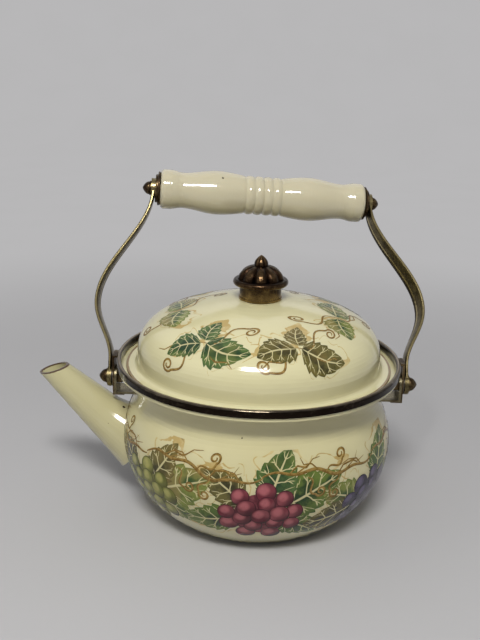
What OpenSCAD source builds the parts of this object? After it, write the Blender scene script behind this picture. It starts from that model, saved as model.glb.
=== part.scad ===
// Enamelled stovetop tea kettle: a squat pressed-steel body with a recessed domed lid, a tapered
// spout, a rolled rim band, and a swinging bail with two flat arms and a turned ceramic grip.
// Origin: centre of the flat base. +Z is up, the spout points along -X, the bail swings about X.

/* [Body] */
// Largest radius of the belly
belly_r = 91; // [86:0.5:96]
// Height of the widest point of the belly
belly_z = 52; // [48:0.5:56]
// Vertical half-axis of the belly's elliptic outline
belly_half_h = 69.6; // [64:0.2:76]
// Height of the body, from the base to the top of the rim band
body_h = 108; // [104:0.5:114]
// Thickness of the enamelled sheet
wall = 1.2; // [0.9:0.1:1.6]
// Depth of the well that the lid lies in, below the top of the rim band
well_depth = 6; // [4.5:0.5:7]
// Width of the flat ledge that carries the lid
ledge_w = 7; // [5:0.5:9]

/* [Rim band] */
// Outer radius of the rim band
band_r = 95; // [93:0.5:98]
// Height of the rim band
band_h = 4.8; // [3.6:0.2:6]
// Width of the rolled band, seen from above
band_w = 3.1; // [2.6:0.1:4]

/* [Lid] */
// Gap between the lid's edge and the rim band all round
lid_play = 3.2; // [1:0.2:4]
// Width of the lid's flat flange
flange_w = 3; // [2:0.5:4]
// Radius of the lid's dome at its foot
dome_r = 81.2; // [76:0.5:83]
// Height of the cove between flange and dome
cove_h = 6.5; // [4:0.5:9]
// Height of the dome above the cove
dome_h = 35; // [26:1:44]
// Extra rise of the dome's crown, under the knob
crown = 4; // [0:0.2:6]
// Radius over which the crown rises
crown_r = 62; // [45:1:70]
// Squareness of the dome's shoulder: 2 is an ellipse
dome_power = 2.7; // [2:0.1:3.4]

/* [Knob] */
// Radius of the straight collar under the knob
collar_r = 13.7; // [10:0.5:16]
// Height of the collar
collar_h = 9.2; // [7:0.2:13]
// Outer radius of the beaded ring on the collar
ring_r = 18.2; // [16:0.5:22]
// Thickness of the beaded ring
ring_t = 4.2; // [3:0.2:5]
// Largest radius of the fluted dome
melon_r = 15.2; // [12:0.2:15.8]
// Height of the fluted dome
melon_h = 9.5; // [7:0.5:14]
// Number of flutes
flutes = 9; // [6:1:14]
// Depth of the flutes, as a share of the local radius
flute_depth = 0.19; // [0.05:0.01:0.25]
// Radius of the tip at its foot
tip_r = 4.6; // [3.5:0.1:5.5]
// Height of the tip
tip_h = 6.8; // [5:0.2:9]
// Radius of the lid screw's shank
screw_r = 2; // [1.5:0.25:2.5]

/* [Spout] */
// How far the mouth's centre stands out beyond the rim band
mouth_reach = 45.1; // [40:0.5:52]
// How far the mouth's centre lies below the rim's top
mouth_drop = 14.6; // [10:0.2:18]
// Angle of the spout's axis above the level, near the mouth
spout_rise = 43.4; // [40:0.2:46]
// Outer radius of the spout at its mouth
mouth_r = 8.7; // [7:0.1:10]
// Half-angle of the spout's taper
spout_taper = 7.2; // [5:0.2:9]
// Angle of the spout's axis above the level, at its root
root_rise = 37; // [33:0.5:40]
// Length of the spout's straight part, from the mouth
spout_straight = 42; // [34:1:48]
// Slope of the mouth's cut plane
mouth_cut = 16; // [0:1:30]
// Radius of the strainer holes in the body wall
strainer_r = 3; // [2:0.25:3.5]

/* [Ears] */
// How far the bail's pivot axis lies below the rim's top
pivot_drop = 19; // [17:0.5:21]
// Radius of the pivot bolt
pivot_r = 2.5; // [2:0.25:3]
// Thickness of the bracket and the keeper plate
plate_t = 1.5; // [1.2:0.1:2]
// Width of the bracket
bracket_w = 16; // [13:0.5:20]
// Gap between the rim band and the bracket's upright leg
ear_gap = 0.4; // [0.3:0.1:2]
// Depth of the bracket's level leg below the pivot axis
leg_drop = 8.6; // [7.5:0.1:9.5]
// Width of the keeper plate
keeper_w = 11.5; // [10:0.5:14]
// How far the bail leans back from upright, as it stands
bail_lean = 28.5; // [0:0.5:60]

/* [Bail] */
// Distance from the pivot axis to the grip's axis
arm_len = 132.2; // [126:0.2:140]
// Width of the bail's arms
arm_w = 12.5; // [10:0.5:14]
// Thickness of the arms at their middle
arm_t = 2.6; // [2:0.1:3]
// Thickness of the flattened ends of the arms
lug_t = 2.9; // [2.8:0.1:3.6]
// Radius of the arms' round ends
lug_r = 7; // [6.5:0.25:8]
// How far the arms bow out beyond the ears
arm_bow = 11.3; // [6:0.1:14]
// How much more or less than the bail each worn arm leans
rack = 4.5; // [0:0.5:5]
// Twist that wear has put into the middle of the left arm
left_twist = 4; // [0:1:20]
// Twist that wear has put into the middle of the right arm
right_twist = 16; // [0:1:20]

/* [Grip] */
// Half the length of the ceramic grip
grip_half = 72.8; // [66:0.2:78]
// Radius of the grip's two swells
swell_r = 15.4; // [14:0.2:17]
// Radius of the necks near the grip's ends
neck_r = 12.4; // [11:0.1:13]
// Radius of the flared ends
flare_r = 13.8; // [12.8:0.1:15]
// Radius over the beads at the grip's middle
bead_r = 13.7; // [12.8:0.1:14]
// Distance from bead to bead
bead_pitch = 6.4; // [5.4:0.1:7]
// Rounding of the grip's two end edges
end_round = 3; // [2:0.25:4]
// Number of beads
beads = 4; // [2:1:6]
// Radius of the end caps
cap_r = 11.8; // [9:0.2:12]
// Thickness of the end caps
cap_t = 3.4; // [2.6:0.2:5]
// Radius of the tie rod through the grip
rod_r = 2.4; // [2:0.1:2.8]

/* [Hidden] */
$fn = 96;

enamel = [0.82, 0.78, 0.62];
trim_metal = [0.38, 0.35, 0.32];
old_brass = [0.42, 0.34, 0.18];
dark_bronze = [0.20, 0.15, 0.10];

// Clearances
run_fit = 0.08;        // radial, a pin that turns in its hole
loose_fit = 0.3;       // radial, a bolt or rod through a plain hole
side_gap = 0.2;        // beside a piece that swings
seat_gap = 0.1;        // under and beside a piece that is pressed to its seat
lift_gap = 0.1;        // under the lid's flange
band_gap = 0.05;       // between the rim band and the sheet it wraps
eps = 0.01;

function mix(a, b, t) = a + (b - a) * t;
function unit(v) = v / norm(v);
function clamp01(t) = min(1, max(0, t));
function ease(t) = (1 - cos(180 * clamp01(t))) / 2;
function bez(p, t) = pow(1 - t, 3) * p[0] + 3 * t * pow(1 - t, 2) * p[1]
                   + 3 * t * t * (1 - t) * p[2] + pow(t, 3) * p[3];
function bez_dir(p, t) = unit(pow(1 - t, 2) * (p[1] - p[0]) + 2 * t * (1 - t) * (p[2] - p[1])
                   + t * t * (p[3] - p[2]));
function left_of(d) = [-d[1], d[0]];

// ---------------------------------------------------------------- body sheet
neck_angle = 22;                       // where the belly's ellipse hands over to the neck
base_angle = asin(belly_z / belly_half_h);
neck_steps = 10;
belly_steps = 30;
ledge_z = body_h - well_depth;         // top of the ledge
lip_top = body_h - band_w / 2;         // top edge of the sheet inside the rolled band
lip_out = band_r - (band_w - wall) / 2 - band_gap;
lip_in = lip_out - wall;
ledge_in = lip_in - ledge_w;

function belly_pt(a, w) = [(belly_r - w) * cos(a), belly_z + (belly_half_h - w) * sin(a)];
neck_start = belly_pt(neck_angle, 0);
neck_dir = unit([-belly_r * sin(neck_angle), belly_half_h * cos(neck_angle)]);
neck_curve = [neck_start, neck_start + 8 * neck_dir,
              [ledge_in - 4.5, ledge_z - wall], [ledge_in, ledge_z - wall]];

base_turn = 4;                         // share of the belly's angle taken by the rounded base edge
base_curve = [belly_pt(-base_angle, 0) - [3, 0], belly_pt(-base_angle, 0) - [0.6, 0],
              belly_pt(-base_angle + base_turn / 3, 0), belly_pt(-base_angle + base_turn, 0)];
outer_curve = concat(
    [for (i = [0:5]) bez(base_curve, i / 5)],
    [for (i = [1:belly_steps])
        belly_pt(mix(-base_angle + base_turn, neck_angle, i / belly_steps), 0)],
    [for (i = [1:neck_steps]) bez(neck_curve, i / neck_steps)]);
floor_angle = asin((belly_z - wall) / (belly_half_h - wall));
inner_curve = concat(
    [for (i = [0:belly_steps]) belly_pt(mix(-floor_angle, neck_angle, i / belly_steps), wall)],
    [for (i = [1:neck_steps]) let (t = i / neck_steps)
        bez(neck_curve, t) + wall * left_of(bez_dir(neck_curve, t))]);
function reversed(l) = [for (i = [len(l) - 1:-1:0]) l[i]];

module body_envelope() {
    rotate_extrude()
        polygon(concat([[0, 0]], outer_curve, [[0, ledge_z - wall]]));
}

module kettle_body() {
    color(enamel)
    difference() {
        rotate_extrude()
            polygon(concat([[0, 0]], outer_curve,
                [[lip_out, ledge_z - wall], [lip_out, lip_top], [lip_in, lip_top], [lip_in, ledge_z]],
                reversed(inner_curve), [[0, wall]]));
        strainer_holes();
    }
}

// ---------------------------------------------------------------- rim band
module rim_band() {
    color(trim_metal)
    rotate_extrude()
    difference() {
        union() {
            translate([band_r - band_w, body_h - band_h])
                square([band_w, band_h - band_w / 2]);
            translate([band_r - band_w / 2, body_h - band_w / 2])
                circle(r = band_w / 2);
        }
        translate([lip_in - band_gap, body_h - band_h - eps])
            square([wall + 2 * band_gap, lip_top - (body_h - band_h) + eps]);
    }
}

// ---------------------------------------------------------------- spout
// The spout is lofted along an axis that flattens towards its root, with a straight underside
mouth_at = [-(band_r + mouth_reach), 0, body_h - mouth_drop];
underside = spout_rise + spout_taper;                    // angle of the straight underside
spout_bend = 14;                                         // length over which the axis turns
spout_lead = 14;                                         // stretch beyond the mouth, cut off
bend_rate = (root_rise - spout_rise) / spout_bend;       // degrees per mm
bend_rings = 8;                                          // rings of facets in the bend
spout_sides = 40;
deg = 180 / PI;

function spout_angle(d) = spout_rise + bend_rate * clamp01((d - spout_straight) / spout_bend) * spout_bend;
function spout_point(d) =
    let (u = clamp01((d - spout_straight) / spout_bend) * spout_bend,
         past = max(0, d - spout_straight - spout_bend), a = spout_angle(d))
    mouth_at + [min(d, spout_straight) * cos(spout_rise) + past * cos(root_rise)
                    + (sin(a) - sin(spout_rise)) * deg / bend_rate,
                0,
                -min(d, spout_straight) * sin(spout_rise) - past * sin(root_rise)
                    + (cos(a) - cos(spout_rise)) * deg / bend_rate];
function spout_radius(d) =
    let (past = max(0, d - spout_straight - spout_bend), a = spout_angle(d))
    mouth_r + min(d, spout_straight) * tan(spout_taper) + past * tan(underside - root_rise)
        + (ln(cos(spout_taper)) - ln(cos(underside - a))) * deg / -bend_rate;

root_point = spout_point(spout_straight + spout_bend);
spout_reach = spout_straight + spout_bend + (-belly_r - root_point[0]) / cos(root_rise);
spout_len = spout_reach + 13;

module spout_loft(shrink, over) {
    stations = concat([-spout_lead - over],
        [for (j = [0:bend_rings]) spout_straight + spout_bend * j / bend_rings], [spout_len + over]);
    last = len(stations) - 1;
    points = [for (d = stations)
        let (c = spout_point(d), r = spout_radius(d) - shrink, a = spout_angle(d))
        for (k = [0:spout_sides - 1]) let (q = 360 * (k + 0.5) / spout_sides)
            c + r * [cos(q) * sin(a), -sin(q), cos(q) * cos(a)]];
    sides = [for (j = [0:last - 1]) for (k = [0:spout_sides - 1])
        let (m = (k + 1) % spout_sides, a = j * spout_sides, b = a + spout_sides)
        each [[a + k, b + k, b + m], [a + k, b + m, a + m]]];
    near = [for (k = [0:spout_sides - 1]) k];
    far = [for (k = [spout_sides - 1:-1:0]) last * spout_sides + k];
    polyhedron(points = points, faces = concat(sides, [near], [far]), convexity = 4);
}

module spout() {
    color(enamel)
    difference() {
        spout_loft(0, 0);
        spout_loft(wall, 5);
        body_envelope();
        translate(mouth_at)
        rotate([0, -mouth_cut, 0])
        translate([0, 0, 2 * mouth_r])
            cube([8 * mouth_r, 4 * mouth_r, 4 * mouth_r], center = true);
    }
}

// Water reaches the spout through a ring of holes and one in the middle
strainer_at = spout_point(spout_reach);
strainer_pitch = 3.4 * strainer_r;
strainer_count = 6;

module strainer_holes() {
    translate(strainer_at)
    rotate([0, 90, 0]) {
        cylinder(r = strainer_r, h = 16, center = true);
        for (i = [0:strainer_count - 1])
            rotate([0, 0, i * 360 / strainer_count])
            translate([strainer_pitch, 0, 0])
                cylinder(r = strainer_r, h = 24, center = true);
    }
}

// ---------------------------------------------------------------- lid
lid_r = band_r - band_w - lid_play;
lid_z = ledge_z + lift_gap;
dome_z = lid_z + cove_h;
collar_foot_r = collar_r + 0.6;
function crown_at(r) = crown * pow(max(0, 1 - pow(max(r, collar_foot_r) / crown_r, 2)), 2);
dome_top = dome_z + dome_h + crown_at(0);
dome_steps = 26;
cove_steps = 6;
cove_out = lid_r - flange_w;
lid_hole_r = screw_r + loose_fit;

function dome_pt(a, w) = let (r = (dome_r - w) * pow(cos(a), 2 / dome_power))
    [r, dome_z + (dome_h - w) * pow(sin(a), 2 / dome_power) + crown_at(r)];
cove_curve = [[cove_out, lid_z + wall], [mix(cove_out, dome_r, 0.75), lid_z + wall],
              [dome_r, lid_z + 0.3 * cove_h], [dome_r, dome_z]];
lid_outer = concat(
    [for (i = [0:cove_steps]) bez(cove_curve, i / cove_steps)],
    [for (i = [1:dome_steps]) dome_pt(90 * i / dome_steps, 0)]);
lid_inner = concat(
    [for (i = [0:cove_steps]) let (t = i / cove_steps)
        bez(cove_curve, t) + wall * left_of(bez_dir(cove_curve, t))],
    [for (i = [1:dome_steps]) dome_pt(90 * i / dome_steps, wall)]);

module lid() {
    color(enamel)
    difference() {
        rotate_extrude()
            polygon(concat([[lid_r, lid_z + wall / 2], [lid_r - wall / 4, lid_z + wall]],
                lid_outer, reversed(lid_inner), [[lid_r, lid_z]]));
        translate([0, 0, dome_top - 2 * wall])
            cylinder(r = lid_hole_r, h = 4 * wall);
    }
}

// ---------------------------------------------------------------- knob
collar_foot_h = 1.4;
ring_z = dome_top + collar_h;
melon_z = ring_z + ring_t - 0.6;
bead_z = melon_z + melon_h;
thread_depth = 8;
washer_t = 1;
washer_r = 8;
melon_around = 8 * flutes;
melon_rows = 12;
melon_neck_r = 0.5 * tip_r;

module knob_collar() {
    color(old_brass)
    translate([0, 0, dome_top])
    difference() {
        union() {
            cylinder(r = collar_foot_r, h = collar_foot_h);
            cylinder(r = collar_r, h = collar_h);
        }
        translate([0, 0, -1])
            cylinder(r = lid_hole_r, h = collar_h + 2);
    }
}

// Fluted dome: a quarter-ellipse outline whose radius swells and pinches once per flute
function melon_row(j) = let (a = 90 * j / melon_rows)
    [mix(melon_neck_r, melon_r, cos(a)), melon_h * sin(a)];
function flute_gain(k) = 1 - flute_depth * pow(1 - abs(sin(180 * k * flutes / melon_around)), 1.6);

module fluted_dome() {
    points = concat(
        [for (j = [0:melon_rows]) for (k = [0:melon_around - 1])
            let (row = melon_row(j), a = 360 * (k / melon_around + 0.5 / flutes) - 90,
                r = row[0] * flute_gain(k))
            [r * cos(a), r * sin(a), row[1]]]);
    sides = [for (j = [0:melon_rows - 1]) for (k = [0:melon_around - 1])
        let (m = (k + 1) % melon_around, a = j * melon_around, b = a + melon_around)
        [a + k, b + k, b + m, a + m]];
    bottom = [for (k = [0:melon_around - 1]) k];
    top = [for (k = [melon_around - 1:-1:0]) melon_rows * melon_around + k];
    polyhedron(points = points, faces = concat(sides, [bottom], [top]), convexity = 4);
}

module knob() {
    tip_steps = 10;
    tip_sunk = 1.5;
    color(old_brass)
    difference() {
        union() {
            translate([0, 0, ring_z])
                cylinder(r = ring_r - ring_t / 2, h = ring_t);
            translate([0, 0, ring_z + ring_t / 2])
            rotate_extrude()
            translate([ring_r - ring_t / 2, 0])
                circle(r = ring_t / 2);
            translate([0, 0, melon_z])
                fluted_dome();
            translate([0, 0, bead_z - tip_sunk])
            rotate_extrude()
                polygon(concat([[0, 0], [0.94 * tip_r, 0]],
                    [for (i = [0:tip_steps]) let (t = i / tip_steps)
                        [tip_r * pow(cos(90 * t), 0.8), tip_sunk + 0.8 + (tip_h - 0.8) * t]]));
        }
        translate([0, 0, ring_z - 1])
            cylinder(r = screw_r + band_gap, h = thread_depth + 1);
    }
}

module knob_washer() {
    color(trim_metal)
    translate([0, 0, dome_top - wall - seat_gap - washer_t])
    difference() {
        cylinder(r = washer_r, h = washer_t);
        translate([0, 0, -1])
            cylinder(r = lid_hole_r, h = washer_t + 2);
    }
}

module knob_screw() {
    head_r = 2.3 * screw_r;
    head_h = 1.4 * screw_r;
    head_z = dome_top - wall - seat_gap - washer_t - head_h;
    color(trim_metal)
    difference() {
        union() {
            translate([0, 0, head_z])
                cylinder(r = head_r, h = head_h);
            translate([0, 0, head_z])
                cylinder(r = screw_r, h = ring_z + thread_depth - 1 - head_z);
        }
        translate([-head_r, -0.4, head_z - 1])
            cube([2 * head_r, 0.8, 2.1]);
    }
}

// ---------------------------------------------------------------- ears
pivot_z = body_h - pivot_drop;
bracket_x = band_r + ear_gap;                     // inner face of the bracket's upright leg
plate_x = bracket_x + plate_t;
pivot_washer_t = 0.7;
pivot_washer_x = plate_x + plate_t;
arm_x = pivot_washer_x + pivot_washer_t + side_gap + lug_t / 2;    // middle of the arm's lug
nut_x = arm_x + lug_t / 2 + side_gap;
leg_z = pivot_z - leg_drop - plate_t;             // underside of the bracket's level leg
bolt_hole_r = pivot_r + loose_fit;
weld_h = 9;

module on_side(s) {
    if (s > 0) children();
    else mirror([1, 0, 0]) children();
}

module bracket(s) {
    color(old_brass)
    on_side(s)
    difference() {
        union() {
            // upright leg with a round top
            translate([bracket_x, -bracket_w / 2, leg_z])
                cube([plate_t, bracket_w, pivot_z - leg_z]);
            translate([bracket_x, 0, pivot_z])
            rotate([0, 90, 0])
                cylinder(r = bracket_w / 2, h = plate_t);
            // level leg and the weld flange that follows the belly
            difference() {
                union() {
                    translate([belly_r - 20, -bracket_w / 2, leg_z])
                        cube([bracket_x - belly_r + 20 + plate_t, bracket_w, plate_t]);
                    intersection() {
                        translate([belly_r - 20, -bracket_w / 2, leg_z])
                            cube([30, bracket_w, weld_h]);
                        flange_envelope();
                    }
                }
                body_envelope();
            }
        }
        translate([bracket_x - 1, 0, pivot_z])
        rotate([0, 90, 0])
            cylinder(r = bolt_hole_r, h = plate_t + 2);
    }
}

// The body's outline grown by one plate thickness, for the weld flange that is bent up under the rim
module flange_envelope() {
    rotate_extrude()
        polygon(concat([[0, 0]],
            [for (i = [0:belly_steps]) belly_pt(mix(-base_angle, neck_angle, i / belly_steps), -plate_t)],
            [for (i = [1:neck_steps]) let (t = i / neck_steps)
                bez(neck_curve, t) - plate_t * left_of(bez_dir(neck_curve, t))],
            [[0, ledge_z]]));
}

// The keeper is a strip behind the arm. Its foot is bent in under the bracket's level leg and its
// top is bent in to the rim band, so that it can't turn with the arm.
module keeper(s) {
    neck_at_leg = belly_r * sqrt(1 - pow((leg_z - belly_z) / belly_half_h, 2));
    foot_l = 0.55 * (bracket_x - neck_at_leg);
    foot_z = leg_z - seat_gap - plate_t;
    hook_z = body_h - band_h / 2;
    hook_l = plate_x - band_r - seat_gap;
    color(old_brass)
    on_side(s)
    difference() {
        union() {
            translate([plate_x, -keeper_w / 2, foot_z])
                cube([plate_t, keeper_w, hook_z - foot_z]);
            translate([plate_x - foot_l, -keeper_w / 2, foot_z])
                cube([foot_l + plate_t, keeper_w, plate_t]);
            translate([plate_x - hook_l, -keeper_w / 2, hook_z - plate_t])
                cube([hook_l + plate_t, keeper_w, plate_t]);
        }
        translate([plate_x - 1, 0, pivot_z])
        rotate([0, 90, 0])
            cylinder(r = bolt_hole_r, h = plate_t + 2);
    }
}

module pivot_bolt(s) {
    head_t = 3;
    color(dark_bronze)
    on_side(s) {
        translate([bracket_x - head_t, 0, pivot_z])
        rotate([0, 90, 0])
            cylinder(r = 2 * pivot_r, h = head_t, $fn = 6);
        translate([bracket_x - head_t / 2, 0, pivot_z])
        rotate([0, 90, 0])
            cylinder(r = pivot_r, h = nut_x + 3.5 - bracket_x + head_t / 2);
    }
}

module pivot_washer(s) {
    color(trim_metal)
    on_side(s)
    translate([pivot_washer_x, 0, pivot_z])
    rotate([0, 90, 0])
    difference() {
        cylinder(r = 2.2 * pivot_r, h = pivot_washer_t);
        translate([0, 0, -1])
            cylinder(r = bolt_hole_r, h = pivot_washer_t + 2);
    }
}

// Acorn nut that grows along +Z from its seat: a flange, a waist and an ogee dome, with a blind bore
module cap_nut(bore_r, bore_l) {
    nut_r = 1.8 * pivot_r;
    flange_t = 1.1;
    waist_t = 1.6;
    dome_l = 4.4;
    steps = 10;
    difference() {
        rotate_extrude()
            polygon(concat([[0, 0], [nut_r + 0.5, 0], [nut_r + 0.5, flange_t], [nut_r - 0.2, flange_t + 0.2],
                [nut_r, waist_t]],
                [for (i = [1:steps]) let (t = i / steps)
                    [nut_r * pow(cos(90 * t), 0.75), waist_t + dome_l * t]]));
        translate([0, 0, -1])
            cylinder(r = bore_r + band_gap, h = bore_l + 1);
    }
}

module pivot_nut(s) {
    color(dark_bronze)
    on_side(s)
    translate([nut_x, 0, pivot_z])
    rotate([0, 90, 0])
        cap_nut(pivot_r, 3.7);
}

// ---------------------------------------------------------------- bail
function lean(s) = bail_lean + s * rack;
end_half = grip_half + cap_t + lug_t / 2;         // grip centre to the middle of an arm's lug
rise = arm_len * (cos(lean(1)) - cos(lean(-1)));
depth = arm_len * (sin(lean(1)) - sin(lean(-1)));
top_x = sqrt(pow(2 * end_half, 2) - rise * rise - depth * depth) / 2;
function arm_top(s) = [s * top_x, arm_len * sin(lean(s)), pivot_z + arm_len * cos(lean(s))];
grip_dir = unit(arm_top(1) - arm_top(-1));
grip_mid = (arm_top(1) + arm_top(-1)) / 2;
grip_yaw = atan2(grip_dir[1], grip_dir[0]);
grip_tilt = asin(grip_dir[2]);

// Middle line of an arm: out from the ear to the bow, then in over the lid to the grip
bow_start = 0.09 * arm_len;
bow_at = 0.385 * arm_len;
bow_end = 0.985 * arm_len;
function arm_out(v) = arm_x + arm_bow * ease((v - bow_start) / (bow_at - bow_start))
                    - (arm_x + arm_bow - top_x) * ease((v - bow_at) / (bow_end - bow_at));
function arm_at(s, v) = [s * arm_out(v), v * sin(lean(s)), pivot_z + v * cos(lean(s))];
function arm_dir(s, v) = unit(arm_at(s, v + 0.5) - arm_at(s, v - 0.5));
function arm_twist(s, v) = (s > 0 ? right_twist : left_twist) * pow(sin(180 * clamp01(v / arm_len)), 2);

// Width direction at v, eased from the ear's plane to the grip's end face, then twisted
function arm_flat(s, v) =
    let (at_ear = [0, cos(lean(s)), -sin(lean(s))],
         at_grip = unit(cross([0, sin(lean(s)), cos(lean(s))], grip_dir)),
         t = arm_dir(s, v),
         w = mix(at_ear, at_grip, ease((v - bow_start) / (bow_end - bow_start))),
         w1 = unit(w - (w * t) * t),
         n1 = s * cross(t, w1) * -1,
         a = arm_twist(s, v))
    [unit(w1 * cos(a) - n1 * sin(a)), unit(n1 * cos(a) + w1 * sin(a))];

arm_rings = 44;
arm_corners = 16;
function soft_power(x, p) = (x < 0 ? -1 : 1) * pow(abs(x), p);
function arm_section(k) = let (a = 360 * (k + 0.5) / arm_corners)
    [arm_w / 2 * soft_power(cos(a), 0.4), arm_t / 2 * soft_power(sin(a), 0.75)];

module arm_strip(s) {
    points = [for (j = [0:arm_rings]) let (v = arm_len * j / arm_rings, c = arm_at(s, v),
            f = arm_flat(s, v))
        for (k = [0:arm_corners - 1]) let (p = arm_section(s > 0 ? k : arm_corners - 1 - k))
            c + p[0] * f[0] + p[1] * f[1]];
    sides = [for (j = [0:arm_rings - 1]) for (k = [0:arm_corners - 1])
        let (m = (k + 1) % arm_corners, a = j * arm_corners, b = a + arm_corners)
        each [[a + k, a + m, b + m], [a + k, b + m, b + k]]];
    low = [for (k = [arm_corners - 1:-1:0]) k];
    high = [for (k = [0:arm_corners - 1]) arm_rings * arm_corners + k];
    polyhedron(points = points, faces = concat(sides, [low], [high]), convexity = 4);
}

module in_grip_frame() {
    translate(grip_mid)
    rotate([0, -grip_tilt, grip_yaw])
        children();
}

// Turns +Z into the outward direction of grip end s, starting dist from the grip's centre
module at_grip_end(s, dist) {
    in_grip_frame()
    translate([s * dist, 0, 0])
    rotate([0, s * 90, 0])
        children();
}

module arm(s) {
    color(old_brass)
    difference() {
        union() {
            arm_strip(s);
            translate([s * arm_x, 0, pivot_z])
            rotate([0, 90, 0])
                cylinder(r = lug_r, h = lug_t, center = true);
            at_grip_end(s, end_half)
                cylinder(r = lug_r, h = lug_t, center = true);
        }
        translate([s * arm_x, 0, pivot_z])
        rotate([0, 90, 0])
            cylinder(r = pivot_r + run_fit, h = 3 * lug_t, center = true);
        at_grip_end(s, end_half)
            cylinder(r = rod_r + loose_fit, h = 3 * lug_t, center = true);
    }
}

// Grip outline, from the middle out: beads, swell, neck, flared end
groove_r = bead_r - 1.1;
beads_half = (beads + 0.5) * bead_pitch / 2;
swell_at = 0.45 * grip_half;
neck_at = 0.79 * grip_half;
flare_at = 0.90 * grip_half;
function bead_profile(x) = groove_r + (bead_r - groove_r)
    * pow(abs(cos(180 * (x / bead_pitch + (beads + 1) / 2))), 0.7);
function grip_profile(x) =
    x < beads_half ? bead_profile(x)
    : x < swell_at ? mix(bead_profile(beads_half), swell_r, sin(90 * (x - beads_half)
        / (swell_at - beads_half)))
    : x < neck_at ? mix(swell_r, neck_r, ease((x - swell_at) / (neck_at - swell_at)))
    : x < flare_at ? mix(neck_r, flare_r, ease((x - neck_at) / (flare_at - neck_at)))
    : flare_r;
half_outline = concat(
    [for (i = [0:4 * beads]) let (x = beads_half * i / (4 * beads)) [grip_profile(x), x]],
    [for (i = [1:22]) let (x = mix(beads_half, grip_half - end_round, i / 22)) [grip_profile(x), x]],
    [for (a = [15:15:90]) [flare_r - end_round * (1 - cos(a)), grip_half - end_round
        + end_round * sin(a)]]);

module grip() {
    color([0.86, 0.83, 0.72])
    in_grip_frame()
    rotate([0, 90, 0])
    difference() {
        rotate_extrude()
            polygon(concat([[0, -grip_half]],
                [for (p = reversed(half_outline)) [p[0], -p[1]]],
                [for (i = [1:len(half_outline) - 1]) half_outline[i]], [[0, grip_half]]));
        cylinder(r = rod_r + 3 * loose_fit, h = 2 * grip_half + 2, center = true);
    }
}

rod_end = end_half + lug_t / 2 + 3.5;

module tie_rod() {
    color(trim_metal)
    in_grip_frame()
    rotate([0, 90, 0])
        cylinder(r = rod_r, h = 2 * rod_end, center = true);
}

module end_cap(s) {
    step = cap_t / 2;
    color(dark_bronze)
    at_grip_end(s, grip_half)
    difference() {
        rotate_extrude()
            polygon([[0, 0], [cap_r - end_round / 4, 0], [cap_r, step * 0.4], [cap_r, step * 0.8],
                [cap_r - 0.8, step], [cap_r - 2, step], [cap_r - 2, cap_t - 0.5],
                [cap_r - 2.5, cap_t], [0, cap_t]]);
        translate([0, 0, -1])
            cylinder(r = rod_r + loose_fit, h = cap_t + 2);
    }
}

module grip_nut(s) {
    color(dark_bronze)
    at_grip_end(s, end_half + lug_t / 2)
        cap_nut(rod_r, 3.7);
}

kettle_body();
rim_band();
spout();
bracket(-1);  // left_bracket
bracket(1);  // right_bracket
keeper(-1);  // left_keeper
keeper(1);  // right_keeper
pivot_bolt(-1);  // left_pivot_bolt
pivot_bolt(1);  // right_pivot_bolt
pivot_washer(-1);  // left_pivot_washer
pivot_washer(1);  // right_pivot_washer
pivot_nut(-1);  // left_pivot_nut
pivot_nut(1);  // right_pivot_nut
arm(-1);  // left_arm
arm(1);  // right_arm
grip();
tie_rod();
end_cap(-1);  // left_end_cap
end_cap(1);  // right_end_cap
grip_nut(-1);  // left_grip_nut
grip_nut(1);  // right_grip_nut
lid();
knob();
knob_collar();
knob_screw();
knob_washer();
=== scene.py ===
import math

import bpy
import numpy as np
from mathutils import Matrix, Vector


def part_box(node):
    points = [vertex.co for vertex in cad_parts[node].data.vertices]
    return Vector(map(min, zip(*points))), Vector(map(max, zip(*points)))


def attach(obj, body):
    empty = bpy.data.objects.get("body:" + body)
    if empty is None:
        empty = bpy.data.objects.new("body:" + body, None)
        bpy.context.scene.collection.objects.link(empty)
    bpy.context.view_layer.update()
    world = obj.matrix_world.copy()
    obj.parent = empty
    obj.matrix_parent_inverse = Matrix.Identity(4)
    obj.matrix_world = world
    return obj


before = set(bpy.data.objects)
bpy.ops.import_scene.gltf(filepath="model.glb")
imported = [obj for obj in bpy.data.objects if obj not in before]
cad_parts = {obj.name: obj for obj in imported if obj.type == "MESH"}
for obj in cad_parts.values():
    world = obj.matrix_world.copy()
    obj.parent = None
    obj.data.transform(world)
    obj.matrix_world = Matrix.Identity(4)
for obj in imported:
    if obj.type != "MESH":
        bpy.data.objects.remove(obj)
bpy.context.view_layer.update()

bl_info = {
    "name": "Enamel Tea Kettle",
    "version": (1, 0, 0),
    "blender": (4, 5, 0),
    "location": "View3D > Sidebar > Kettle",
    "description": "Finishes an enamelled tea kettle with a painted garland, aged brass and a glazed grip",
    "category": "Object",
}

KNOB_LOW, KNOB_HIGH = (corner[2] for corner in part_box("knob"))
MM = 0.001

# Sizes of the solids that finishes and painted pieces line up with, in millimetres.
# The belly's outline is an ellipse: its greatest radius, the height of that, and its half height.
BELLY_R, BELLY_Z, BELLY_H = 91.0, 52.0, 69.6
# The dome's outline is a superellipse, with a soft rise towards the collar that starts at CROWN_R.
DOME_R, DOME_Z, DOME_H, DOME_POWER = 81.2, 108.6, 35.0, 2.7
CROWN, CROWN_R, COLLAR_R = 4.0, 62.0, 14.3
# Radius and height of the lid's flange, and the middle and slant of the spout's mouth
LID_R, LID_Z = 88.7, 102.1
MOUTH = (-140.1, 0.0, 93.4)
MOUTH_CUT = math.radians(16)
# Height of the pivots, how far each arm leans back from them, and the number of lobes on the knob
PIVOT_Z = 89.0
LEFT_LEAN, RIGHT_LEAN = math.radians(24), math.radians(33)
FLUTES = 9


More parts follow.
